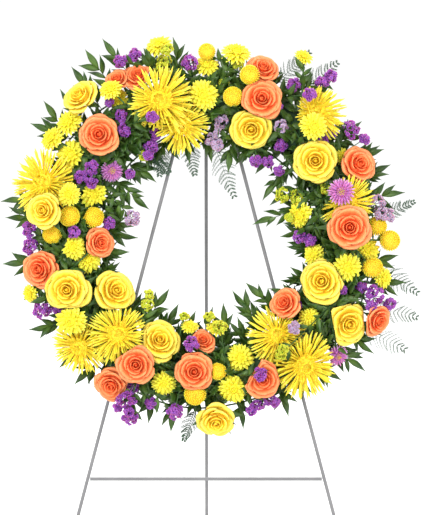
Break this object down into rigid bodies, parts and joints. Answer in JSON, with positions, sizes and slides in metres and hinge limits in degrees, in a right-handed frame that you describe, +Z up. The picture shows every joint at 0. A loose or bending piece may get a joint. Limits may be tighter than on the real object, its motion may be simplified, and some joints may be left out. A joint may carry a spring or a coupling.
{
  "type": "funeral wreath",
  "caption": "Round funeral wreath of yellow and orange roses, chrysanthemums, purple statice and leaves, on a folding three-legged wire easel.",
  "frame": {"origin": "on the floor, in the middle of the easel's footprint", "axes": "+Z up, -Y towards the viewer of the flowers, +X to that viewer's right"},
  "size_m": [0.828, 0.5256, 1.2757],
  "materials": {
    "grey_wire": "satin grey paint on steel wire",
    "bare_wire": "bare steel wire",
    "green_plastic": "dark green moulded plastic",
    "floral_foam": "dark green foam, matt",
    "green_leaf": "waxy dark green leaves and grey-green fern",
    "yellow_rose_petal": "soft yellow petals",
    "orange_rose_petal": "soft coral orange petals",
    "spider_mum_petal": "golden yellow petals",
    "daisy_mum_petal": "bright yellow petals",
    "button_mum_petal": "dense golden petals",
    "purple_petal": "papery purple florets"
  },
  "bodies": {
    "front_frame_and_wreath": {"button_mum_12h": "button_mum_petal", "button_mum_3h": "button_mum_petal", "button_mum_6h": "button_mum_petal", "button_mum_9h": "button_mum_petal", "daisy_mum_10h": "daisy_mum_petal", "daisy_mum_11h": "daisy_mum_petal", "daisy_mum_12h": "daisy_mum_petal", "daisy_mum_1h": "daisy_mum_petal", "daisy_mum_3h": "daisy_mum_petal", "daisy_mum_4h": "daisy_mum_petal", "daisy_mum_6h": "daisy_mum_petal", "daisy_mum_8h": "daisy_mum_petal", "daisy_mum_9h": "daisy_mum_petal", "easel_crossbar": "grey_wire", "easel_hook": "grey_wire", "easel_left_leg": "grey_wire", "easel_right_leg": "grey_wire", "easel_top_bar": "grey_wire", "hanging_loop": "bare_wire", "inner_leaves_4": "green_leaf", "inner_leaves_5": "green_leaf", "orange_rose_10h": "orange_rose_petal", "orange_rose_11h": "orange_rose_petal", "orange_rose_1h": "orange_rose_petal", "orange_rose_2h": "orange_rose_petal", "orange_rose_4h": "orange_rose_petal", "orange_rose_5h": "orange_rose_petal", "orange_rose_6h": "orange_rose_petal", "orange_rose_7h": "orange_rose_petal", "orange_rose_9h": "orange_rose_petal", "outer_leaves_1": "green_leaf", "outer_leaves_2": "green_leaf", "outer_leaves_3": "green_leaf", "purple_spray_10h": "purple_petal", "purple_spray_11h": "purple_petal", "purple_spray_1h": "purple_petal", "purple_spray_2h": "purple_petal", "purple_spray_3h": "purple_petal", "purple_spray_4h": "purple_petal", "purple_spray_6h": "purple_petal", "purple_spray_7h": "purple_petal", "purple_spray_8h": "purple_petal", "purple_spray_9h": "purple_petal", "ring_foam": "floral_foam", "ring_tray": "green_plastic", "spider_mum_10h": "spider_mum_petal", "spider_mum_11h": "spider_mum_petal", "spider_mum_2h": "spider_mum_petal", "spider_mum_3h": "spider_mum_petal", "spider_mum_5h": "spider_mum_petal", "spider_mum_8h": "spider_mum_petal", "yellow_rose_11h": "yellow_rose_petal", "yellow_rose_1h": "yellow_rose_petal", "yellow_rose_4h": "yellow_rose_petal", "yellow_rose_6h": "yellow_rose_petal", "yellow_rose_7h": "yellow_rose_petal", "yellow_rose_8h": "yellow_rose_petal", "yellow_rose_9h": "yellow_rose_petal"},
    "back_leg": {"easel_back_leg": "grey_wire"}
  },
  "joints": [
    {"name": "easel_fold", "type": "hinge", "parent": "front_frame_and_wreath", "child": "back_leg", "pos_m": [0, 0.00309, 1.21945], "axis": [-1, 0, 0], "range_deg": [0, 23.4]}
  ]
}
